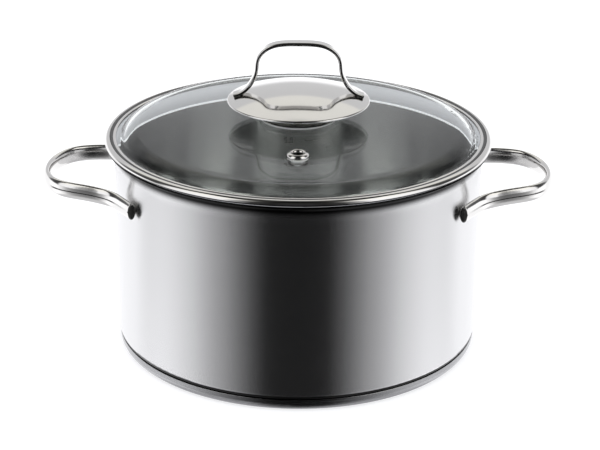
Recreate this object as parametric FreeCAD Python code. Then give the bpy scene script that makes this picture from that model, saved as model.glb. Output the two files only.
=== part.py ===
import FreeCAD, Part
import os, math
from FreeCAD import Vector as V, Placement, Rotation

os.makedirs("parts", exist_ok=True)

# ---------------------------------------------------------------- dimensions (mm)
# frame: origin at the centre of the base's underside, +Z up, +X through the side handles,
# the steam vent towards -Y
R_BODY = 120.0          # outer radius of the wall
T_WALL = 0.9            # sheet thickness of wall and floor
Z_SEAM = 7.8            # top edge of the base cap
Z_FLOOR = 6.0           # underside of the drawn floor
R_CORNER = 5.4          # outer corner radius of the drawing
Z_FLARE = 127.0         # where the pouring rim leaves the wall
R_FLARE1 = 45.0         # first, gentle sweep of the rim (centreline radius)
A_FLARE1 = 10.0         # degrees turned by the gentle sweep
R_FLARE2 = 4.2          # tight outward turn
A_FLARE2 = 78.0         # degrees from vertical at the end of the turn
L_FLARE = 0.9           # short straight run before the rolled edge
R_BEAD = 0.75           # rolled edge of the pouring rim

R_CAP = 119.5           # base cap, outer radius
T_CAP = 0.7
R_CAP_CORNER = 5.0
R_RING = 100.0          # inside of the flat contact ring
H_RECESS = 0.3          # the middle of the base stands clear of the hob by this

Z_LID = 140.8           # mid height of the glass edge
T_GLASS = 3.6
R_EDGE = 121.0          # centre of the rounded glass edge
R_DOME1 = 1500.0        # crown radius of the glass
R_JOIN = 105.2          # where crown and shoulder meet
R_DOME2 = 14.0          # shoulder radius
A_EDGE = 52.0           # slope of the shoulder at the foot, degrees
R_FOOT = 2.5            # hollow radius between shoulder and flat edge
R_BAND = 126.1          # outer radius of the rim band
T_BAND = 0.5

D_CENTRE = 9.0          # centre hole in the glass
R_VENT = 72.5           # vent distance from the axis
D_VENTHOLE = 8.9
R_VENTBORE = 3.3        # steam hole

Z_DISC = 165.1          # edge plane of the handle disc
R_DISC = 46.3
H_DISC = 8.4            # rise of the disc
T_DISC = 1.0
L_LIP = 1.0             # turned-down lip

W_STRAP = 8.0
T_STRAP = 2.5
Z_STRAP = Z_DISC + 38.8  # top of the strap

H_BAR = 11.0            # side handle bar, height
T_BAR = 5.6             # side handle bar, thickness

# ---------------------------------------------------------------- helpers
def P(r, z):
    return V(r, 0, z)

def seg(a, b):
    return Part.LineSegment(a, b).toShape()

def arc3(a, m, b):
    return Part.Arc(a, m, b).toShape()

def arc_c(c, r, a0, a1):
    """arc about c in the XZ plane from a0 to a1 degrees (0 = +X, 90 = +Z)"""
    am = 0.5 * (a0 + a1)
    q = [V(c.x + r * math.cos(math.radians(a)), 0, c.z + r * math.sin(math.radians(a))) for a in (a0, am, a1)]
    return Part.Arc(q[0], q[1], q[2]).toShape()

def on(c, r, a):
    return V(c.x + r * math.cos(math.radians(a)), 0, c.z + r * math.sin(math.radians(a)))

def revolve(edges, name=""):
    w = Part.Wire(Part.__sortEdges__(edges))
    f = Part.Face(w)
    s = f.revolve(V(0, 0, 0), V(0, 0, 1), 360)
    if s.ShapeType != "Solid":
        s = Part.Solid(s) if s.ShapeType == "Shell" else s.Solids[0]
    if s.Volume < 0:
        s.reverse()
    return s

def poly(points):
    return [seg(points[i], points[(i + 1) % len(points)]) for i in range(len(points))]

def ring(r0, r1, z0, z1):
    s = Part.makeCylinder(r1, z1 - z0, V(0, 0, z0))
    if r0 > 0:
        s = s.cut(Part.makeCylinder(r0, z1 - z0 + 2, V(0, 0, z0 - 1)))
    return s

def clean(s):
    s = s.removeSplitter()
    return s

def one(s):
    s = clean(s)
    return s.Solids[0] if len(s.Solids) == 1 else s

OUT = {}

def save(name, shape):
    assert shape.isValid(), name
    OUT[name] = shape
    shape.exportStep("parts/%s.step" % name)
    b = shape.BoundBox
    print("%-26s solids %d  vol %10.1f  x %.1f..%.1f y %.1f..%.1f z %.2f..%.2f" % (
        name, len(shape.Solids), shape.Volume, b.XMin, b.XMax, b.YMin, b.YMax, b.ZMin, b.ZMax))

# ---------------------------------------------------------------- drawn shell
ro, ri = R_BODY, R_BODY - T_WALL
zf = Z_FLOOR
rc = R_CORNER
h_ = T_WALL / 2
rm = R_BODY - h_
cA = P(rm + R_FLARE1, Z_FLARE)                              # centre of the gentle sweep
pA = on(cA, R_FLARE1, 180 - A_FLARE1)
cB = on(cA, R_FLARE1 - R_FLARE2, 180 - A_FLARE1)            # centre of the tight turn
pB = on(cB, R_FLARE2, 180 - A_FLARE2)
tx, tz = math.sin(math.radians(A_FLARE2)), math.cos(math.radians(A_FLARE2))
pC = P(pB.x + L_FLARE * tx, pB.z + L_FLARE * tz)
def off(p, d):
    """p moved by d square to the end run, inwards and up for d > 0"""
    return P(p.x - d * tz, p.z + d * tx)
cc = P(R_BODY - rc, zf + rc)
shell = revolve([
    seg(P(0, zf), P(ro - rc, zf)),
    arc_c(cc, rc, -90, 0),
    seg(P(ro, zf + rc), P(ro, Z_FLARE)),
    arc_c(cA, R_FLARE1 - h_, 180, 180 - A_FLARE1),
    arc_c(cB, R_FLARE2 - h_, 180 - A_FLARE1, 180 - A_FLARE2),
    seg(on(cB, R_FLARE2 - h_, 180 - A_FLARE2), off(pC, -h_)),
    seg(off(pC, -h_), off(pC, h_)),
    seg(off(pC, h_), on(cB, R_FLARE2 + h_, 180 - A_FLARE2)),
    arc_c(cB, R_FLARE2 + h_, 180 - A_FLARE2, 180 - A_FLARE1),
    arc_c(cA, R_FLARE1 + h_, 180 - A_FLARE1, 180),
    seg(P(ri, Z_FLARE), P(ri, zf + rc)),
    arc_c(cc, rc - T_WALL, 0, -90),
    seg(P(ro - rc, zf + T_WALL), P(0, zf + T_WALL)),
    seg(P(0, zf + T_WALL), P(0, zf)),
])
cb = off(pC, h_ - R_BEAD)                                   # centre of the rolled bead
bead = Part.makeTorus(cb.x, R_BEAD, V(0, 0, cb.z), V(0, 0, 1))
shell = one(shell.fuse(bead))
Z_RIM = cb.z + R_BEAD
print("rim top", Z_RIM, "rim radius", cb.x + R_BEAD)
save("pot_shell", shell)

# ---------------------------------------------------------------- base cap and core
c = P(R_CAP - R_CAP_CORNER, R_CAP_CORNER)
h = H_RECESS
def groove(r, w, z, up):
    """stamped ring: a shallow step of width w at radius r"""
    return [(r + w, z), (r + w * 0.6, z + up), (r - w * 0.6, z + up), (r - w, z)]
low = [(c.x, 0), (R_RING, 0), (R_RING - 1.2, h)] + groove(62, 1.6, h, 0.3) + groove(30, 1.6, h, 0.3) + [(0, h)]
high = [(x, z + T_CAP) for x, z in low]
edges = []
for i in range(len(low) - 1):
    edges.append(seg(P(*low[i]), P(*low[i + 1])))
edges.append(seg(P(*low[-1]), P(*high[-1])))
for i in range(len(high) - 1, 0, -1):
    edges.append(seg(P(*high[i]), P(*high[i - 1])))
edges += [
    arc_c(c, R_CAP_CORNER - T_CAP, -90, 0),
    seg(P(R_CAP - T_CAP, R_CAP_CORNER), P(R_CAP - T_CAP, Z_SEAM)),
    seg(P(R_CAP - T_CAP, Z_SEAM), P(R_CAP - 0.3, Z_SEAM)),
    arc_c(P(R_CAP - 0.3, Z_SEAM - 0.3), 0.3, 90, 0),
    seg(P(R_CAP, Z_SEAM - 0.3), P(R_CAP, R_CAP_CORNER)),
    arc_c(c, R_CAP_CORNER, 0, -90),
]
cap = revolve(edges)
cap = one(cap)
save("base_cap", cap)

RC = R_CAP - T_CAP - 0.6
core = revolve([
    seg(P(0, T_CAP - 0.1), P(c.x, T_CAP - 0.1)),
    arc_c(P(c.x, R_CAP_CORNER), R_CAP_CORNER - T_CAP + 0.1, -90, -20),
    seg(on(P(c.x, R_CAP_CORNER), R_CAP_CORNER - T_CAP + 0.1, -20), P(on(P(c.x, R_CAP_CORNER), R_CAP_CORNER - T_CAP + 0.1, -20).x, Z_FLOOR)),
    seg(P(on(P(c.x, R_CAP_CORNER), R_CAP_CORNER - T_CAP + 0.1, -20).x, Z_FLOOR), P(0, Z_FLOOR)),
    seg(P(0, Z_FLOOR), P(0, T_CAP - 0.1)),
])
core = one(core.cut(cap))
core = max(core.Solids, key=lambda s: s.Volume)
core = one(core.cut(shell))
save("base_core_disc", core)

# ---------------------------------------------------------------- side handles
Z_H = 113.0
def handle(sign):
    half = [  # X, Y, Z of the bar's centreline, front half, from tip to loop middle
        (103.9, -65.8, Z_H - 1.7),
        (107.6, -59.6, Z_H - 1.6),
        (111.7, -53.6, Z_H - 1.5),
        (116.0, -47.9, Z_H - 1.3),
        (120.8, -43.7, Z_H - 1.0),
        (126.2, -41.0, Z_H - 0.6),
        (133.0, -38.9, Z_H + 0.1),
        (141.0, -36.6, Z_H + 0.6),
        (148.6, -33.6, Z_H + 0.8),
        (155.4, -28.2, Z_H + 0.7),
        (160.5, -20.2, Z_H + 0.4),
        (163.8, -10.4, Z_H + 0.1),
        (164.8, 0.0, Z_H),
    ]
    pts = [V(sign * x, y, z) for x, y, z in half]
    pts += [V(p.x, -p.y, p.z) for p in reversed(pts[:-1])]
    bs = Part.BSplineCurve()
    bs.interpolate(pts)
    path = Part.Wire([bs.toShape()])
    t = bs.tangent(bs.FirstParameter)[0]
    side = t.cross(V(0, 0, 1)); side.normalize()
    if side.x * sign < 0:
        side = side * -1                                    # towards the outer face
    up = V(0, 0, 1)
    p0 = pts[0]
    a, b = T_BAR / 2, H_BAR / 2
    def q(u, v):
        return p0 + side * u + up * v
    # oval bar: crowned inner and outer faces that meet in narrow rounded edges
    sec = Part.Wire([Part.Ellipse(q(0, b), q(a, 0), p0).toShape()])
    ps = Part.BRepOffsetAPI.MakePipeShell(path)
    ps.setBiNormalMode(V(0, 0, 1))
    ps.add(sec, False, False)
    ps.build()
    ps.makeSolid()
    s = ps.shape()
    # soften the cut ends
    ends = [f for f in s.Faces if f.Surface.TypeId == "Part::GeomPlane" and f.Area < T_BAR * H_BAR * 1.1 and abs(f.normalAt(0, 0).z) < 0.5]
    es = []
    for f in ends:
        if (f.CenterOfMass - pts[0]).Length < 2 or (f.CenterOfMass - pts[-1]).Length < 2:
            es += f.Edges
    try:
        s2 = s.makeFillet(0.9, es)
        if s2.isValid() and s2.Volume > 0.9 * s.Volume:
            s = s2
        else:
            print("fillet invalid", sign)
    except Exception as ex:
        print("no fillet", sign, ex)
    s = s.Solids[0]
    return s, pts

wall = Part.makeCylinder(R_BODY, 200, V(0, 0, -20))
for nm, sg in (("left", -1), ("right", 1)):
    s, pts = handle(sg)
    s = s.cut(Part.makeCylinder(R_BODY + 0.45, 200, V(0, 0, -20)))
    s = one(s)
    save(nm + "_handle", s)
    pads = []
    for y in (-1, 1):
        for ang, dz in ((31.0, 0.0), (27.9, 0.0)):
            a = math.radians(ang)
            d = V(sg * math.cos(a), y * math.sin(a), 0)
            cyl = Part.makeCylinder(2.6, 6, V(d.x * (R_BODY - 2), d.y * (R_BODY - 2), Z_H - 1.6 + dz), d)
            pd = cyl.cut(wall).cut(s)
            pd = min(pd.Solids, key=lambda q: math.hypot(q.CenterOfMass.x, q.CenterOfMass.y))
            pads.append(pd)
    save(nm + "_handle_weld_pads", Part.makeCompound(pads))

# ---------------------------------------------------------------- lid glass
a1 = math.asin(R_JOIN / R_DOME1)
ae = math.radians(A_EDGE)
z_flat = Z_LID + T_GLASS / 2
c2x = R_JOIN - R_DOME2 * math.sin(a1)
ex = c2x + R_DOME2 * math.sin(ae)
c3x = ex + R_FOOT * math.sin(ae)
ez = z_flat + R_FOOT - R_FOOT * math.cos(ae)
c2z = ez - R_DOME2 * math.cos(ae)
zj = c2z + R_DOME2 * math.cos(a1)
Z_APEX = zj + R_DOME1 * (1 - math.cos(a1))
c1 = P(0, Z_APEX - R_DOME1); c2 = P(c2x, c2z); c3 = P(c3x, z_flat + R_FOOT)
da1, dae = math.degrees(a1), A_EDGE
ce = P(R_EDGE, Z_LID)
tg = T_GLASS
def dome_profile(t):
    """the closed half section of the glass with thickness t below its upper surface"""
    return [
        arc_c(c1, R_DOME1, 90, 90 - da1),
        arc_c(c2, R_DOME2, 90 - da1, 90 - dae),
        arc_c(c3, R_FOOT, 270 - dae, 270),
        seg(P(c3x, z_flat), P(R_EDGE, z_flat)),
        arc_c(ce, t / 2, 90, -90),
        seg(P(R_EDGE, z_flat - t), P(c3x, z_flat - t)),
        arc_c(c3, R_FOOT + t, 270, 270 - dae),
        arc_c(c2, R_DOME2 - t, 90 - dae, 90 - da1),
        arc_c(c1, R_DOME1 - t, 90 - da1, 90),
        seg(P(0, Z_APEX - t), P(0, Z_APEX)),
    ]
glass_full = revolve(dome_profile(tg))
av = math.asin(R_VENT / R_DOME1)
zv = c1.z + R_DOME1 * math.cos(av)
vent_pos = V(0, -R_VENT, zv)
vent_axis = V(0, -math.sin(av), math.cos(av))
vent_pl = Placement(vent_pos, Rotation(V(0, 0, 1), vent_axis))
centre_cut = Part.makeCylinder(D_CENTRE / 2, 30, V(0, 0, Z_APEX - 20))
vent_cut = Part.makeCylinder(D_VENTHOLE / 2, 30, vent_pos - vent_axis * 15, vent_axis)
glass = one(glass_full.cut(centre_cut).cut(vent_cut))
print("glass apex", Z_APEX, "vent", vent_pos, "tilt", math.degrees(av))
save("lid_glass", glass)

# ---------------------------------------------------------------- rim band
g = T_GLASS / 2
o = g + T_BAND
zt = z_flat + 0.45                         # top of the band
zb = Z_RIM + 0.34                          # underside of the resting flange
tb = T_BAND
ang_o = math.degrees(math.asin((zb - Z_LID) / o))
ang_i = math.degrees(math.asin((zb + tb - Z_LID) / g))
n0 = P(R_EDGE + 0.9, z_flat + 0.46)        # crest of the inner lip
n1 = P(R_BAND - 0.75, Z_LID + 1.25)
n2 = P(R_BAND, Z_LID + 0.05)
n3 = P(R_BAND - 0.9, zb)
i1 = P(n1.x - 0.36, n1.z - 0.34)
i2 = P(R_BAND - tb, Z_LID + 0.02)
i3 = P(n3.x, zb + tb)
band = revolve([
    seg(P(R_EDGE, z_flat), P(R_EDGE + 0.25, z_flat + 0.36)),
    seg(P(R_EDGE + 0.25, z_flat + 0.36), n0),
    Part.Arc(n0, P(R_BAND - 2.35, z_flat + 0.24), n1).toShape(),
    Part.Arc(n1, P(R_BAND - 0.2, Z_LID + 0.72), n2).toShape(),
    Part.Arc(n2, P(R_BAND - 0.28, zb + 0.6), n3).toShape(),
    seg(n3, on(ce, o, ang_o)),
    arc_c(ce, o, ang_o, -90),
    seg(P(R_EDGE, Z_LID - o), P(R_EDGE - 1.6, Z_LID - o)),
    arc_c(P(R_EDGE - 1.6, Z_LID - o + tb / 2), tb / 2, 270, 90),
    seg(P(R_EDGE - 1.6, Z_LID - g), P(R_EDGE, Z_LID - g)),
    arc_c(ce, g, -90, ang_i),
    seg(on(ce, g, ang_i), i3),
    Part.Arc(i3, P(R_BAND - 0.28 - tb, zb + 0.6 + 0.2), i2).toShape(),
    Part.Arc(i2, P(R_BAND - 0.2 - tb * 0.85, Z_LID + 0.72 - tb * 0.4), i1).toShape(),
    Part.Arc(i1, P(R_BAND - 2.5, z_flat + 0.24 - tb), P(R_EDGE + 1.4, z_flat - 0.02)).toShape(),
    seg(P(R_EDGE + 1.4, z_flat - 0.02), P(R_EDGE + 0.27, z_flat - 0.02)),
    seg(P(R_EDGE + 0.27, z_flat - 0.02), P(R_EDGE, z_flat)),
])
band = one(band.cut(glass))
save("lid_rim_band", band)

# ---------------------------------------------------------------- steam vent (local frame: z=0 on the glass)
def local(s):
    s = s.copy()
    s.Placement = vent_pl
    return s
ts = 0.9                                   # seal under the flange
rv = R_VENTBORE
eye = revolve([
    seg(P(rv, -tg - 2.0), P(rv, 2.2)),
    Part.Arc(P(rv, 2.2), P(rv + 0.42, 3.3), P(rv + 1.5, 3.8)).toShape(),
    Part.Arc(P(rv + 1.5, 3.8), P(6.2, 3.0), P(6.8, 1.5)).toShape(),
    seg(P(6.8, 1.5), P(6.65, ts)),
    seg(P(6.65, ts), P(rv + 0.6, ts)),
    seg(P(rv + 0.6, ts), P(rv + 0.6, -tg - 1.3)),
    seg(P(rv + 0.6, -tg - 1.3), P(5.0, -tg - 1.3)),
    Part.Arc(P(5.0, -tg - 1.3), P(5.2, -tg - 1.65), P(5.0, -tg - 2.0)).toShape(),
    seg(P(5.0, -tg - 2.0), P(rv, -tg - 2.0)),
])
eye = local(eye)
glass_env = glass_full
seal = local(ring(rv + 0.6, 6.5, -0.6, ts)).cut(glass_full)
sleeve = local(ring(rv + 0.6, D_VENTHOLE / 2, -tg - 0.4, 0.3))
seal = one(seal.fuse(sleeve).cut(glass).cut(eye))
seal = max(seal.Solids, key=lambda s: s.Volume)
vw = local(ring(rv + 0.62, 6.4, -tg - 1.3, -tg + 0.4)).cut(glass_full).cut(seal).cut(eye)
vw = max(vw.Solids, key=lambda s: s.Volume)
# the clinched washer sits right under the glass; its upper face follows the glass
save("vent_eyelet", eye)
save("vent_seal", seal)
save("vent_washer", vw)

# ---------------------------------------------------------------- lid handle disc
RS = (R_DISC ** 2 + H_DISC ** 2) / (2 * H_DISC)
cd = P(0, Z_DISC + H_DISC - RS)
aw = math.degrees(math.asin((R_DISC - 0.8) / RS))
zt_ = cd.z + RS * math.cos(math.radians(aw))
disc = revolve([
    arc_c(cd, RS, 90, 90 - aw),
    Part.Arc(on(cd, RS, 90 - aw), P(R_DISC - 0.18, Z_DISC - 0.12), P(R_DISC, Z_DISC - 0.6)).toShape(),
    seg(P(R_DISC, Z_DISC - 0.6), P(R_DISC, Z_DISC - L_LIP)),
    seg(P(R_DISC, Z_DISC - L_LIP), P(R_DISC - 0.8, Z_DISC - L_LIP)),
    seg(P(R_DISC - 0.8, Z_DISC - L_LIP), on(P(0, cd.z), RS - T_DISC, 90 - math.degrees(math.asin((R_DISC - 1.3) / (RS - T_DISC))))),
    arc_c(cd, RS - T_DISC, 90 - math.degrees(math.asin((R_DISC - 1.3) / (RS - T_DISC))), 90),
    seg(P(0, cd.z + RS - T_DISC), P(0, cd.z + RS)),
])
disc = one(disc)
save("lid_handle_disc", disc)
Z_DTOP = cd.z + RS

# ---------------------------------------------------------------- lid handle strap
zs = Z_STRAP
half = [(0, 1.25), (9.8, 1.5), (16.0, 2.6), (20.9, 4.9), (24.6, 8.4), (26.7, 13.2),
        (27.3, 18.7), (29.3, 25.1), (32.7, 30.5), (36.9, 34.1), (42.1, 36.3)]
pts = [V(x, 0, zs - d) for x, d in half]
pts = [V(-p.x, 0, p.z) for p in reversed(pts[1:])] + pts
bs = Part.BSplineCurve(); bs.interpolate(pts)
path = Part.Wire([bs.toShape()])
t = bs.tangent(bs.FirstParameter)[0]
nrm = V(-t.z, 0, t.x)
p0 = pts[0]
a, b, r = T_STRAP / 2, W_STRAP / 2, 0.95
def q(u, v):
    return p0 + nrm * u + V(0, 1, 0) * v
k45 = r * (1 - math.sqrt(0.5))
sec = Part.Wire([
    Part.LineSegment(q(-a, -b + r), q(-a, b - r)).toShape(),
    Part.Arc(q(-a, b - r), q(-a + k45, b - k45), q(-a + r, b)).toShape(),
    Part.LineSegment(q(-a + r, b), q(a - r, b)).toShape(),
    Part.Arc(q(a - r, b), q(a - k45, b - k45), q(a, b - r)).toShape(),
    Part.LineSegment(q(a, b - r), q(a, -b + r)).toShape(),
    Part.Arc(q(a, -b + r), q(a - k45, -b + k45), q(a - r, -b)).toShape(),
    Part.LineSegment(q(a - r, -b), q(-a + r, -b)).toShape(),
    Part.Arc(q(-a + r, -b), q(-a + k45, -b + k45), q(-a, -b + r)).toShape(),
])
ps = Part.BRepOffsetAPI.MakePipeShell(path)
ps.setBiNormalMode(V(0, 1, 0))
ps.add(sec, False, False)
ps.build(); ps.makeSolid()
strap = ps.shape().Solids[0]
# keep a hair of air above the disc; the weld pads bridge it
body = Part.makeSphere(RS + 0.25, V(0, 0, cd.z))
strap = one(strap.cut(body))
strap = max(strap.Solids, key=lambda s: s.Volume)
save("lid_handle_strap", strap)
pads = []
for sg in (-1, 1):
    cyl = Part.makeCylinder(2.0, 8, V(sg * 39.8, 0, Z_DISC + 0.0))
    pd = cyl.cut(Part.makeSphere(RS, V(0, 0, cd.z))).cut(strap)
    pd = min(pd.Solids, key=lambda s: s.CenterOfMass.z)
    pads.append(pd)
save("strap_weld_pads", Part.makeCompound(pads))

# ---------------------------------------------------------------- spacer cup, nut, screw stack
Z_CUP = Z_APEX + 0.8                       # underside of the cup's floor
cup_t = 0.8
rb, rt, rk = 26.8, 29.4, 2.8               # foot radius, mouth radius, corner radius
ztop = cd.z + math.sqrt((RS - T_DISC) ** 2 - rt ** 2)
kc = P(rb - rk, Z_CUP + rk)
cup = revolve([
    seg(P(3.6, Z_CUP), P(kc.x, Z_CUP)),
    arc_c(kc, rk, -90, 0),
    seg(P(rb, kc.z), P(rt, ztop + 0.6)),
    seg(P(rt, ztop + 0.6), P(rt - cup_t, ztop + 0.8)),
    seg(P(rt - cup_t, ztop + 0.8), P(rb - cup_t, kc.z)),
    arc_c(kc, rk - cup_t, 0, -90),
    seg(P(kc.x, Z_CUP + cup_t), P(3.6, Z_CUP + cup_t)),
    seg(P(3.6, Z_CUP + cup_t), P(3.6, Z_CUP)),
])
inner_sphere = Part.makeSphere(RS - T_DISC, V(0, 0, cd.z))
cup = one(cup.common(inner_sphere))
save("disc_boss", cup)

# threaded sleeve: from the cup's floor up to the disc
Z_NUTB = Z_CUP + cup_t
nut = Part.makeCylinder(5.0, Z_DTOP - T_DISC - Z_NUTB + 2, V(0, 0, Z_NUTB)).common(inner_sphere)
flange = Part.makeCylinder(9.0, 1.2, V(0, 0, Z_NUTB))
nut = nut.fuse(flange)
nut = nut.cut(Part.makeCylinder(2.5, 11.0, V(0, 0, Z_NUTB - 1)))
nut = one(nut)
save("disc_nut", nut)

# upper gasket: between cup floor and glass
ug = ring(4.6, 24.4, Z_APEX - 1.5, Z_CUP).cut(glass_full)
ug = one(ug)
ug = max(ug.Solids, key=lambda s: s.Volume)
save("upper_gasket", ug)

# lower gasket with a sleeve in the glass hole
zu = Z_APEX - tg
lg = ring(2.8, 10.0, zu - 1.0, zu + 0.5).cut(glass_full)
lsl = ring(2.8, D_CENTRE / 2, zu - 0.5, Z_APEX - 0.2)
lg = one(lg.fuse(lsl).cut(glass))
lg = max(lg.Solids, key=lambda s: s.Volume)
save("lower_gasket", lg)
uw = one(ring(2.75, 9.0, zu - 1.0 - 1.2, zu - 1.0))
uw = one(uw.makeChamfer(0.25, [e for e in uw.Edges if e.Length > 50]))
save("under_washer", uw)
zw = zu - 2.2
sw = ring(2.75, 4.6, zw - 1.2, zw)
slot = Part.makeBox(3.5, 0.7, 3, V(2.2, -0.35, zw - 2))
slot.rotate(V(3.7, 0, zw - 0.6), V(1, 0, 0), 18)
sw = one(sw.cut(slot))
sw = max(sw.Solids, key=lambda s: s.Volume)
save("spring_washer", sw)

zh = zw - 1.2                              # underside of the lock washer = seat of the head
L = (Z_NUTB + 9.0) - zh
scr = revolve([
    seg(P(0, zh - 2.9), P(2.4, zh - 2.9)),
    Part.Arc(P(2.4, zh - 2.9), P(4.2, zh - 2.3), P(4.75, zh - 1.0)).toShape(),
    seg(P(4.75, zh - 1.0), P(4.75, zh)),
    seg(P(4.75, zh), P(2.45, zh)),
    seg(P(2.45, zh), P(2.45, zh + L - 0.8)),
    seg(P(2.45, zh + L - 0.8), P(1.7, zh + L)),
    seg(P(1.7, zh + L), P(0, zh + L)),
    seg(P(0, zh + L), P(0, zh - 2.9)),
])
for ang in (0, 90):
    bx = Part.makeBox(5.6, 1.1, 1.7, V(-2.8, -0.55, zh - 2.95))
    bx.rotate(V(0, 0, 0), V(0, 0, 1), ang + 45)
    scr = scr.cut(bx)
scr = one(scr)
save("lid_screw", scr)
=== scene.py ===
import bpy, bmesh, math
from mathutils import Vector, Matrix


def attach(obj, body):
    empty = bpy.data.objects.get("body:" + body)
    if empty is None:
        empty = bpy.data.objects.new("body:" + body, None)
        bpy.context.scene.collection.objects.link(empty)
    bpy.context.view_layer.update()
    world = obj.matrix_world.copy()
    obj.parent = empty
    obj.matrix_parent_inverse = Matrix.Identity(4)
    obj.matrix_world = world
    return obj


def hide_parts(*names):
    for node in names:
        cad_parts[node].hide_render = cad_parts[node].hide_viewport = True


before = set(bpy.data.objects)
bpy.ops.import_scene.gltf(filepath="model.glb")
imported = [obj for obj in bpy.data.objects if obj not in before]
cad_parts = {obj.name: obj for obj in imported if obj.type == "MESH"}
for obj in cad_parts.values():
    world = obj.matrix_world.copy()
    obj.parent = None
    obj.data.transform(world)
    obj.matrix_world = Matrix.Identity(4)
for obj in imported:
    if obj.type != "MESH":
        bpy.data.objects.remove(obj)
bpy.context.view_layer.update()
scene = bpy.context.scene
scene.view_settings.view_transform = "Standard"
scene.view_settings.look = "None"

# ------------------------------------------------------------------ camera
e, r = math.radians(22.3), math.radians(0.49)
fwd = Vector((0, math.cos(e), -math.sin(e)))
right = Vector((1, 0, 0))
up = right.cross(fwd)
cx = right * math.cos(r) + up * math.sin(r)
cy = -right * math.sin(r) + up * math.cos(r)
loc = Vector((0.00161, -1.2 * math.cos(e), 0.07666 + 1.2 * math.sin(e)))
cam_data = bpy.data.cameras.new("camera")
cam_data.sensor_width = 36.0
cam_data.lens = 107.82
cam_data.clip_start, cam_data.clip_end = 0.05, 60.0
cam = bpy.data.objects.new("camera", cam_data)
scene.collection.objects.link(cam)
m = Matrix((cx, cy, -fwd)).transposed().to_4x4()
m.translation = loc
cam.matrix_world = m
scene.camera = cam


# ------------------------------------------------------------------ node helpers
def sock(tree, a, b):
    tree.links.new(a, b)


def val(tree, op, *args, clamp=False):
    n = tree.nodes.new("ShaderNodeMath")
    n.operation = op
    n.use_clamp = clamp
    for i, a in enumerate(args):
        if isinstance(a, (int, float)):
            n.inputs[i].default_value = a
        else:
            tree.links.new(a, n.inputs[i])
    return n.outputs[0]


def step(tree, x, a, b, lo=0.0, hi=1.0):
    """smooth step of x from a to b, giving lo to hi"""
    n = tree.nodes.new("ShaderNodeMapRange")
    n.interpolation_type = "SMOOTHSTEP"
    tree.links.new(x, n.inputs["Value"])
    n.inputs["From Min"].default_value = a
    n.inputs["From Max"].default_value = b
    n.inputs["To Min"].default_value = lo
    n.inputs["To Max"].default_value = hi
    return n.outputs["Result"]


def mix(tree, f, a, b, blend="MIX"):
    n = tree.nodes.new("ShaderNodeMix")
    n.data_type = "RGBA"
    n.blend_type = blend
    for s, v in ((n.inputs["Factor"], f), (n.inputs[6], a), (n.inputs[7], b)):
        if isinstance(v, (int, float)):
            s.default_value = v if s.name == "Factor" else (v, v, v, 1)
        elif isinstance(v, (tuple, list)):
            s.default_value = (*v, 1) if len(v) == 3 else v
        else:
            tree.links.new(v, s)
    return n.outputs[2]


# ------------------------------------------------------------------ studio light
# linear radiance by azimuth (0 = the camera's side, + = right): dark behind the camera,
# rising softly into a large white side light, the same left and right
SIDE = [(20, 0.01), (30, 0.08), (40, 0.20), (55, 0.45), (70, 0.85), (90, 1.20), (110, 1.30), (180, 1.30)]
PROFILE = [(-a, v) for a, v in reversed(SIDE)] + SIDE
GAIN = 1.6
STEEL = 0.70
INNER_ROUGH = 0.11
# the same for the soft boxes and the backdrop above the horizon, as linear radiance
UPPER = [
    (-180, 0.95), (-150, 0.92), (-132, 0.95), (-122, 0.2), (-100, 0.06), (-88, 0.10), (-80, 1.2), (-60, 1.3), (-44, 1.25), (-38, 0.5),
    (-32, 0.25), (-27, 0.05), (-15, 0.02), (-9, 0.03), (9, 0.03), (15, 0.02), (27, 0.05), (32, 0.25), (38, 0.6),
    (44, 1.35), (60, 1.35), (80, 1.25), (88, 0.10), (100, 0.06), (122, 0.2), (132, 0.95), (150, 0.95), (180, 0.95)]


def azimuth_ramp(t, fac, stops):
    ramp = t.nodes.new("ShaderNodeValToRGB")
    cr = ramp.color_ramp
    cr.interpolation = "LINEAR"
    els = cr.elements
    while len(els) > 1:
        els.remove(els[-1])
    for i, (a, v) in enumerate(stops):
        pos = (a + 180) / 360
        p = els[0] if i == 0 else els.new(pos)
        p.position = pos
        v = min(1.0, v / GAIN)
        p.color = (v, v, v, 1)
    t.links.new(fac, ramp.inputs[0])
    return ramp.outputs[0]


def scaled(t, c, f):
    n = t.nodes.new("ShaderNodeVectorMath")
    n.operation = "SCALE"
    t.links.new(c, n.inputs[0])
    t.links.new(f, n.inputs["Scale"])
    return n.outputs[0]


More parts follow.
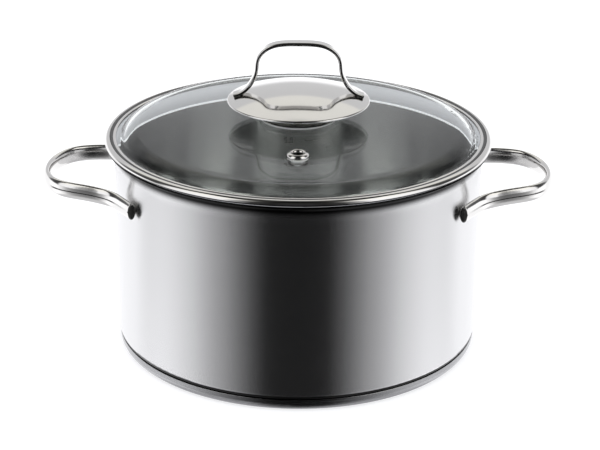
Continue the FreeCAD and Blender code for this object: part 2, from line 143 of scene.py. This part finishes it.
def studio():
    w = bpy.data.worlds.new("studio")
    scene.world = w
    w.use_nodes = True
    t = w.node_tree
    t.nodes.clear()
    out = t.nodes.new("ShaderNodeOutputWorld")
    co = t.nodes.new("ShaderNodeTexCoord")
    nrm = t.nodes.new("ShaderNodeVectorMath")
    nrm.operation = "NORMALIZE"
    t.links.new(co.outputs["Generated"], nrm.inputs[0])
    sp = t.nodes.new("ShaderNodeSeparateXYZ")
    t.links.new(nrm.outputs[0], sp.inputs[0])
    x, y, z = sp.outputs
    az = val(t, "ARCTAN2", x, val(t, "MULTIPLY", y, -1.0))
    az01 = val(t, "ADD", val(t, "DIVIDE", az, 2 * math.pi), 0.5)
    absaz = val(t, "MULTIPLY", val(t, "ABSOLUTE", az), 180 / math.pi)
    el = val(t, "MULTIPLY", val(t, "ARCSINE", z), 180 / math.pi)
    low = azimuth_ramp(t, az01, PROFILE)
    high = azimuth_ramp(t, az01, UPPER)
    c = mix(t, step(t, el, 2, 10), low, high)
    # white table below, seen only well under the horizon
    side = val(t, "MAXIMUM", step(t, absaz, 30, 62, 0.02, 1.0), step(t, el, -70, -58, 0.3, 0.0))
    table = val(t, "MULTIPLY", step(t, el, -50, -40, 1.0, 0.0), side)
    c = mix(t, table, c, (0.50, 0.50, 0.505))
    # dark gap between table and boxes, on the camera's side and the flanks
    side = val(t, "MULTIPLY", step(t, absaz, 100, 125, 1.0, 0.0), step(t, absaz, 24, 36))
    gap = val(t, "MULTIPLY", step(t, el, -25, -23), step(t, el, -18, -16, 1.0, 0.0))
    near = val(t, "MULTIPLY", step(t, el, -45, -38), step(t, el, 0, 6, 1.0, 0.0))
    level = val(t, "SUBTRACT", val(t, "MULTIPLY_ADD", near, 0.28, 1.0), val(t, "MULTIPLY", gap, 1.16))
    c = scaled(t, c, val(t, "MULTIPLY_ADD", side, val(t, "SUBTRACT", level, 1.0), 1.0))
    # dark ceiling
    c = scaled(t, c, step(t, el, 56, 62, 1.0, 0.07))
    back = val(t, "MULTIPLY", step(t, absaz, 95, 130), step(t, el, 4, 12))
    back = val(t, "MULTIPLY", back, step(t, el, 30.5, 33, 1.0, 0.0))
    c = scaled(t, c, val(t, "SUBTRACT", 1.0, val(t, "MULTIPLY", back, 0.20)))
    tint = mix(t, step(t, el, 30.5, 33), (0.975, 0.978, 1.0), (1.0, 0.99, 0.95))
    c = mix(t, 1.0, c, tint, "MULTIPLY")
    lp = t.nodes.new("ShaderNodeLightPath")
    soft = val(t, "GREATER_THAN", lp.outputs["Diffuse Depth"], 0.5)
    c = mix(t, soft, c, (0.70, 0.705, 0.735))
    bg = t.nodes.new("ShaderNodeBackground")
    bg.inputs["Strength"].default_value = GAIN
    t.links.new(c, bg.inputs["Color"])
    white = t.nodes.new("ShaderNodeBackground")
    white.inputs["Color"].default_value = (1, 1, 1, 1)
    white.inputs["Strength"].default_value = 1.0
    ms = t.nodes.new("ShaderNodeMixShader")
    t.links.new(lp.outputs["Is Camera Ray"], ms.inputs[0])
    t.links.new(bg.outputs[0], ms.inputs[1])
    t.links.new(white.outputs[0], ms.inputs[2])
    t.links.new(ms.outputs[0], out.inputs[0])
    w.cycles.sampling_method = "NONE"


studio()


# ------------------------------------------------------------------ materials
def material(name):
    m = bpy.data.materials.new(name)
    m.use_nodes = True
    t = m.node_tree
    b = t.nodes["Principled BSDF"]
    return m, t, b


def coords(t):
    co = t.nodes.new("ShaderNodeTexCoord")
    return co.outputs["Object"]


def noise(t, vec, scale, stretch=(1, 1, 1), detail=3.0, rough=0.55):
    mp = t.nodes.new("ShaderNodeMapping")
    mp.inputs["Scale"].default_value = stretch
    t.links.new(vec, mp.inputs["Vector"])
    n = t.nodes.new("ShaderNodeTexNoise")
    n.inputs["Scale"].default_value = scale
    n.inputs["Detail"].default_value = detail
    n.inputs["Roughness"].default_value = rough
    t.links.new(mp.outputs[0], n.inputs["Vector"])
    return n.outputs["Fac"]


def bump(t, h, b, strength, dist):
    n = t.nodes.new("ShaderNodeBump")
    n.inputs["Strength"].default_value = strength
    n.inputs["Distance"].default_value = dist
    t.links.new(h, n.inputs["Height"])
    t.links.new(n.outputs[0], b.inputs["Normal"])
    return n


def radius(t, vec):
    sp = t.nodes.new("ShaderNodeSeparateXYZ")
    t.links.new(vec, sp.inputs[0])
    rr = val(t, "SQRT", val(t, "ADD", val(t, "MULTIPLY", sp.outputs[0], sp.outputs[0]), val(t, "MULTIPLY", sp.outputs[1], sp.outputs[1])))
    return rr, sp.outputs[2]


def polished(name, color=(0.72, 0.71, 0.695), rough=0.06, scr=0.02):
    m, t, b = material(name)
    v = coords(t)
    b.inputs["Metallic"].default_value = 1.0
    n1 = noise(t, v, 60.0, (1, 1, 1), 2.0)
    n2 = noise(t, v, 900.0, (1, 1, 3), 3.0)
    c = mix(t, step(t, n1, 0.35, 0.65), tuple(x * 0.985 for x in color), color)
    t.links.new(c, b.inputs["Base Color"])
    rr = val(t, "MULTIPLY_ADD", n2, 0.03, rough - 0.015)
    t.links.new(rr, b.inputs["Roughness"])
    bump(t, n2, b, scr, 0.0002)
    return m


def band_metal():
    m, t, b = material("polished_band")
    v = coords(t)
    b.inputs["Metallic"].default_value = 1.0
    n1 = noise(t, v, 60.0, (1, 1, 1), 2.0)
    nz = t.nodes.new("ShaderNodeSeparateXYZ")
    t.links.new(v.node.outputs["Normal"], nz.inputs[0])
    # painted shade: the band's downward-facing underside is painted near black (0.03), standing in for the shade
    # under the roll
    low = step(t, nz.outputs[2], -0.02, 0.22, 1.0, 0.0)
    c = mix(t, n1, (0.71, 0.70, 0.685), (0.72, 0.71, 0.695))
    t.links.new(mix(t, low, c, (0.03, 0.03, 0.03)), b.inputs["Base Color"])
    t.links.new(val(t, "MULTIPLY_ADD", n1, 0.02, 0.06), b.inputs["Roughness"])
    return m


def fmix(t, f, a, b):
    n = t.nodes.new("ShaderNodeMix")
    n.data_type = "FLOAT"
    for k, v in ((0, f), (2, a), (3, b)):
        if isinstance(v, (int, float)):
            n.inputs[k].default_value = v
        else:
            t.links.new(v, n.inputs[k])
    return n.outputs[0]


def brushed():
    m, t, b = material("brushed_steel_wall")
    v = coords(t)
    rr, z = radius(t, v)
    b.inputs["Metallic"].default_value = 1.0
    b.inputs["Anisotropic"].default_value = 0.9
    b.inputs["Anisotropic Rotation"].default_value = 0.25
    tg = t.nodes.new("ShaderNodeTangent")
    tg.direction_type = "RADIAL"
    tg.axis = "Z"
    t.links.new(tg.outputs[0], b.inputs["Tangent"])
    fine = noise(t, v, 1.0, (9, 9, 3200), 3.0, 0.6)
    broad = noise(t, v, 1.0, (5, 5, 160), 2.0, 0.5)
    nz = t.nodes.new("ShaderNodeSeparateXYZ")
    t.links.new(v.node.outputs["Normal"], nz.inputs[0])
    inner = step(t, rr, 0.1193, 0.1197, 1.0, 0.0)         # inside of the wall
    inside = val(t, "MULTIPLY", inner, step(t, z, 0.0064, 0.0067))
    px = t.nodes.new("ShaderNodeSeparateXYZ")
    t.links.new(v, px.inputs[0])
    outward = val(t, "ADD", val(t, "MULTIPLY", nz.outputs[0], px.outputs[0]), val(t, "MULTIPLY", nz.outputs[1], px.outputs[1]))
    outward = val(t, "DIVIDE", outward, rr)
    # painted light: the pouring lip above the step is painted pale, made matt and set to glow (below)
    lip = val(t, "MULTIPLY", step(t, z, 0.1268, 0.1270), step(t, outward, 0.30, 0.38, 1.0, 0.0))
    inside = val(t, "MAXIMUM", inside, lip)
    # painted shade: the rolled rim's underside is painted near black, standing in for the roll's own shade
    rim = val(t, "MAXIMUM", step(t, outward, 0.30, 0.38), step(t, rr, 0.1240, 0.1243))
    rim = val(t, "MULTIPLY", step(t, z, 0.1290, 0.1345), rim)
    # painted shade: the wall's downward-facing curve just above the base seam is painted near black, standing in
    # for the shade in the seam
    foot = val(t, "MULTIPLY", step(t, outward, 0.30, 0.38), step(t, nz.outputs[2], -0.20, -0.10, 1.0, 0.0))
    foot = val(t, "MULTIPLY", foot, step(t, z, 0.010, 0.012, 1.0, 0.0))
    rim = val(t, "MAXIMUM", rim, foot)
    lip = val(t, "MULTIPLY", lip, val(t, "SUBTRACT", 1.0, rim))
    outer_c = mix(t, fine, (0.695, 0.694, 0.70), (0.712, 0.711, 0.713))
    inner_c = mix(t, fine, (0.84, 0.845, 0.83), (0.87, 0.87, 0.86))
    # painted light: the inside wall's colour rises to near white towards the rim; it is darker towards the bottom
    inner_c = mix(t, step(t, z, 0.040, 0.122), scaled(t, inner_c, val(t, "ADD", 0.80, 0.0)), (0.96, 0.962, 0.96))
    inner_c = mix(t, lip, inner_c, (0.36, 0.362, 0.37))
    c = mix(t, inside, outer_c, inner_c)
    # painted shade: the rim's underside and the foot are painted near black
    c = mix(t, rim, c, (0.015, 0.015, 0.015))
    t.links.new(c, b.inputs["Base Color"])
    t.links.new(val(t, "SUBTRACT", 1.0, val(t, "MULTIPLY", lip, 0.8)), b.inputs["Metallic"])
    # painted light: the pale pouring lip glows, standing in for light bounced through the glass
    b.inputs["Emission Color"].default_value = (0.93, 0.94, 1.0, 1)
    t.links.new(val(t, "MULTIPLY", lip, step(t, z, 0.1272, 0.1375, 0.24, 0.48)), b.inputs["Emission Strength"])
    satin = val(t, "MULTIPLY_ADD", fine, 0.03, 0.235)
    satin = val(t, "MULTIPLY_ADD", broad, 0.012, satin)
    satin = fmix(t, inside, satin, val(t, "MULTIPLY_ADD", fine, 0.03, INNER_ROUGH))
    ro = fmix(t, lip, satin, 0.55)
    t.links.new(ro, b.inputs["Roughness"])
    h = val(t, "MULTIPLY", fine, val(t, "SUBTRACT", 1.0, val(t, "MAXIMUM", inside, rim)))
    bump(t, h, b, 0.025, 0.0001)
    return m


def bright_edge():
    m, t, b = material("painted_highlight_step_edge")
    v = coords(t)
    n = noise(t, v, 400.0, (1, 1, 1), 2.0)
    b.inputs["Metallic"].default_value = 0.15
    t.links.new(mix(t, n, (0.95, 0.955, 0.965), (0.98, 0.985, 0.99)), b.inputs["Base Color"])
    t.links.new(val(t, "MULTIPLY_ADD", n, 0.05, 0.30), b.inputs["Roughness"])
    # painted highlight: the step's edge is near white and glows, standing in for the highlight along the crease
    b.inputs["Emission Color"].default_value = (0.96, 0.97, 1.0, 1)
    b.inputs["Emission Strength"].default_value = 0.50
    return m


def base_metal():
    m, t, b = material("satin_base_cap")
    v = coords(t)
    rr, z = radius(t, v)
    b.inputs["Metallic"].default_value = 1.0
    b.inputs["Anisotropic"].default_value = 0.7
    b.inputs["Anisotropic Rotation"].default_value = 0.25
    tg = t.nodes.new("ShaderNodeTangent")
    tg.direction_type = "RADIAL"
    tg.axis = "Z"
    t.links.new(tg.outputs[0], b.inputs["Tangent"])
    fine = noise(t, v, 1.0, (14, 14, 2200), 4.0, 0.6)
    # turning marks on the underside
    turn = t.nodes.new("ShaderNodeTexNoise")
    turn.noise_dimensions = "1D"
    turn.inputs["Scale"].default_value = 1500.0
    turn.inputs["Detail"].default_value = 2.0
    t.links.new(rr, turn.inputs["W"])
    under = step(t, z, 0.0008, 0.0016, 1.0, 0.0)
    f = t.nodes.new("ShaderNodeMix")
    f.data_type = "FLOAT"
    t.links.new(under, f.inputs["Factor"])
    t.links.new(fine, f.inputs[2])
    t.links.new(turn.outputs["Fac"], f.inputs[3])
    c = mix(t, f.outputs[0], (0.34, 0.34, 0.35), (0.39, 0.39, 0.395))
    t.links.new(c, b.inputs["Base Color"])
    t.links.new(val(t, "MULTIPLY_ADD", f.outputs[0], 0.12, 0.20), b.inputs["Roughness"])
    bump(t, f.outputs[0], b, 0.15, 0.0001)
    return m


def aluminium():
    m, t, b = material("rolled_aluminium")
    v = coords(t)
    b.inputs["Metallic"].default_value = 1.0
    n = noise(t, v, 500.0, (0.2, 1, 1), 3.0)
    t.links.new(mix(t, n, (0.62, 0.63, 0.64), (0.74, 0.745, 0.75)), b.inputs["Base Color"])
    t.links.new(val(t, "MULTIPLY_ADD", n, 0.15, 0.35), b.inputs["Roughness"])
    bump(t, n, b, 0.1, 0.0002)
    return m


def glass():
    m, t, b = material("tempered_glass")
    v = coords(t)
    b.inputs["Transmission Weight"].default_value = 1.0
    b.inputs["IOR"].default_value = 1.2
    b.inputs["Roughness"].default_value = 0.0
    n = noise(t, v, 18.0, (1, 1, 1), 1.0)
    t.links.new(mix(t, n, (0.93, 0.955, 0.945), (0.94, 0.965, 0.955)), b.inputs["Base Color"])
    return m


def silicone():
    m, t, b = material("clear_silicone")
    v = coords(t)
    n = noise(t, v, 1800.0, (1, 1, 1), 2.0)
    t.links.new(mix(t, n, (0.62, 0.62, 0.60), (0.70, 0.70, 0.68)), b.inputs["Base Color"])
    t.links.new(val(t, "MULTIPLY_ADD", n, 0.15, 0.38), b.inputs["Roughness"])
    b.inputs["Subsurface Weight"].default_value = 0.2
    b.inputs["Subsurface Radius"].default_value = (0.001, 0.001, 0.001)
    bump(t, n, b, 0.05, 0.0001)
    return m


M = {
    "wall": brushed(), "base": base_metal(), "alu": aluminium(), "glass": glass(), "silicone": silicone(),
    "polished": polished("polished_steel_parts"),
    "bar": polished("polished_bar"),
    "band": band_metal(),
    "disc": polished("polished_disc", rough=0.09),
    "boss": polished("shaded_boss", (0.26, 0.255, 0.245), 0.10),
    "hardware": polished("bright_hardware", (0.66, 0.655, 0.645), 0.14, 0.05),
    "weld": polished("weld_metal", (0.6, 0.59, 0.575), 0.22, 0.2),
}
USE = {
    "pot_shell": "wall", "base_core_disc": "alu", "base_cap": "base",
    "left_handle": "bar", "right_handle": "bar", "left_handle_weld_pads": "weld", "right_handle_weld_pads": "weld",
    "lid_glass": "glass", "lid_rim_band": "band", "vent_eyelet": "polished", "vent_seal": "silicone",
    "vent_washer": "hardware", "lid_handle_disc": "disc", "lid_handle_strap": "bar", "strap_weld_pads": "weld",
    "disc_boss": "boss", "disc_nut": "hardware", "upper_gasket": "silicone", "lower_gasket": "silicone",
    "under_washer": "hardware", "spring_washer": "hardware", "lid_screw": "hardware"}
for n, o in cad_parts.items():
    o.data.materials.clear()
    o.data.materials.append(M[USE[n]])


# ------------------------------------------------------------------ pieces
def finish_mesh(name, bm, mat, body, angle=35):
    bmesh.ops.recalc_face_normals(bm, faces=bm.faces)
    me = bpy.data.meshes.new(name)
    bm.to_mesh(me)
    bm.free()
    for p in me.polygons:
        p.use_smooth = True
    me.set_sharp_from_angle(angle=math.radians(angle))
    o = bpy.data.objects.new(name, me)
    scene.collection.objects.link(o)
    me.materials.append(mat)
    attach(o, body)
    return o


def lathe(name, profile, mat, body, segs=288, angle=35):
    """a closed (r, z) outline in mm turned about Z"""
    bm = bmesh.new()
    rings = []
    for k in range(segs):
        a = 2 * math.pi * k / segs
        ca, sa = math.cos(a) / 1000, math.sin(a) / 1000
        rings.append([bm.verts.new((p[0] * ca, p[0] * sa, p[1] / 1000)) for p in profile])
    n = len(profile)
    for k in range(segs):
        q0, q1 = rings[k], rings[(k + 1) % segs]
        for i in range(n):
            j = (i + 1) % n
            bm.faces.new((q0[i], q1[i], q1[j], q0[j]))
    return finish_mesh(name, bm, mat, body, angle)


def arc(cx_, cz_, r_, a0, a1, n):
    return [(cx_ + r_ * math.cos(math.radians(a0 + (a1 - a0) * i / n)),
             cz_ + r_ * math.sin(math.radians(a0 + (a1 - a0) * i / n))) for i in range(n + 1)]


def painted_shade_ring():
    m, t, b = material("painted_shade_ring")
    v = coords(t)
    n = noise(t, v, 1500.0, (1, 1, 1), 2.0)
    # painted shade: near black, standing in for the shade between glass edge and band
    t.links.new(mix(t, n, (0.012, 0.012, 0.012), (0.022, 0.022, 0.021)), b.inputs["Base Color"])
    t.links.new(val(t, "MULTIPLY_ADD", n, 0.15, 0.25), b.inputs["Roughness"])
    bump(t, n, b, 0.05, 0.0001)
    return m


def marking():
    m, t, b = material("etched_marking")
    v = coords(t)
    n = noise(t, v, 2500.0, (1, 1, 1), 2.0)
    b.inputs["Metallic"].default_value = 1.0
    t.links.new(mix(t, n, (0.30, 0.30, 0.29), (0.38, 0.38, 0.37)), b.inputs["Base Color"])
    t.links.new(val(t, "MULTIPLY_ADD", n, 0.1, 0.45), b.inputs["Roughness"])
    return m


# rim band: rolled sheet round the glass edge, underside flange on the pot's rim
band_profile = (
    [(122.75, 142.35), (122.75, 142.75)] + arc(123.1, 142.72, 0.34, 180, 100, 4)
    + arc(123.2, 140.16, 2.9, 90, 12, 14) + arc(125.3, 140.5, 0.82, 8, -60, 8)
    + [(125.2, 139.45), (124.6, 139.2), (123.4, 139.0), (122.3, 138.75), (121.6, 138.5), (119.4, 138.5)]
    + arc(119.4, 138.75, 0.25, 270, 90, 6) + [(121.3, 139.0), (122.2, 139.35), (122.75, 140.2)])
band = lathe("rim_band_rolled", band_profile, M["band"], "lid", angle=40)
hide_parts("lid_rim_band")
# painted shade: a near-black ring fills the step between glass edge and band, standing in for the shade inside that
# step
lathe("glass_edge_shade_ring", [(120.7, 142.5), (120.75, 142.72)] + arc(121.0, 142.66, 0.16, 140, 90, 3)
      + arc(122.4, 142.64, 0.2, 90, 0, 4) + [(122.72, 142.5), (122.72, 141.4), (122.3, 142.2), (121.4, 142.55)],
      painted_shade_ring(), "lid", angle=50)
lathe("seal_bright_edge", [(118.6, 142.5), (118.75, 142.62)] + arc(119.75, 141.2, 1.66, 118, 58, 12) + [(120.85, 142.5)],
      M["polished"], "lid", angle=60)
# rounded step inside the wall where the pouring rim begins, its edge a glowing painted highlight
lathe("pouring_rim_step", [(119.5, 126.1)] + arc(119.3, 126.85, 0.72, 250, 110, 12) + [(119.5, 127.6)],
      bright_edge(), "pot", angle=50)

# etched filling marks on the far inside wall: plain numerals and lines
SEGS = {"0": "abcdef", "1": "bc", "2": "abdeg", "3": "abcdg", "4": "bcfg", "5": "acdfg"}


def wrapped_bar(bm, u0, u1, z0, z1, r0, r1):
    """a bar on the far inside wall, u along the wall (mm, + to the right), between radii r0 and r1"""
    n = max(1, int(abs(u1 - u0) / 1.0))
    cols = []
    for i in range(n + 1):
        a = math.pi / 2 - (u0 + (u1 - u0) * i / n) / 119.1
        ca, sa = math.cos(a) / 1000, math.sin(a) / 1000
        cols.append([bm.verts.new((q * ca, q * sa, w / 1000)) for q, w in ((r0, z0), (r1, z0), (r1, z1), (r0, z1))])
    for i in range(n):
        for j in range(4):
            k = (j + 1) % 4
            bm.faces.new((cols[i][j], cols[i + 1][j], cols[i + 1][k], cols[i][k]))
    bm.faces.new(cols[0])
    bm.faces.new(cols[-1][::-1])


def scale_mark(name, z, digits):
    bm = bmesh.new()
    w, h, tk = 2.2, 4.2, 0.55
    u = -10.6
    for ch in digits:
        if ch == ".":
            wrapped_bar(bm, u, u + 0.6, z, z + 0.6, 119.02, 119.2)
            u += 1.3
            continue
        for sname, (a0, a1, b0, b1) in {
                "a": (0, w, h - tk, h), "d": (0, w, 0, tk), "g": (0, w, h / 2 - tk / 2, h / 2 + tk / 2),
                "f": (0, tk, h / 2 + tk / 2, h - tk), "e": (0, tk, tk, h / 2 - tk / 2),
                "b": (w - tk, w, h / 2 + tk / 2, h - tk), "c": (w - tk, w, tk, h / 2 - tk / 2)}.items():
            if sname in SEGS[ch]:
                wrapped_bar(bm, u + a0, u + a1, z + b0, z + b1, 119.02, 119.2)
        u += w + 0.8
    wrapped_bar(bm, 4.5, 10.8, z + h / 2 - 0.25, z + h / 2 + 0.25, 119.02, 119.2)
    return finish_mesh(name, bm, MARK, "pot", 30)


MARK = marking()
for k, (zz, dd) in enumerate(((16.0, "1.0"), (35.0, "2.0"), (54.0, "3.0"), (72.5, "4.0"), (91.0, "5.0"))):
    scale_mark("filling_mark_%d" % (k + 1), zz, dd)

# ------------------------------------------------------------------ floor
bm = bmesh.new()
bmesh.ops.create_grid(bm, x_segments=4, y_segments=4, size=8.0)
me = bpy.data.meshes.new("floor")
bm.to_mesh(me)
bm.free()
floor = bpy.data.objects.new("floor", me)
scene.collection.objects.link(floor)
floor.location = (0, 0, -0.0002)
fm, ft, fb = material("pale_floor")
fb.inputs["Base Color"].default_value = (0.62, 0.62, 0.62, 1)
fb.inputs["Roughness"].default_value = 0.9
fb.inputs["Specular IOR Level"].default_value = 0.0
fb.inputs["Emission Color"].default_value = (1, 1, 1, 1)
fb.inputs["Emission Strength"].default_value = 0.55
me.materials.append(fm)
floor.visible_glossy = False
floor.visible_shadow = False
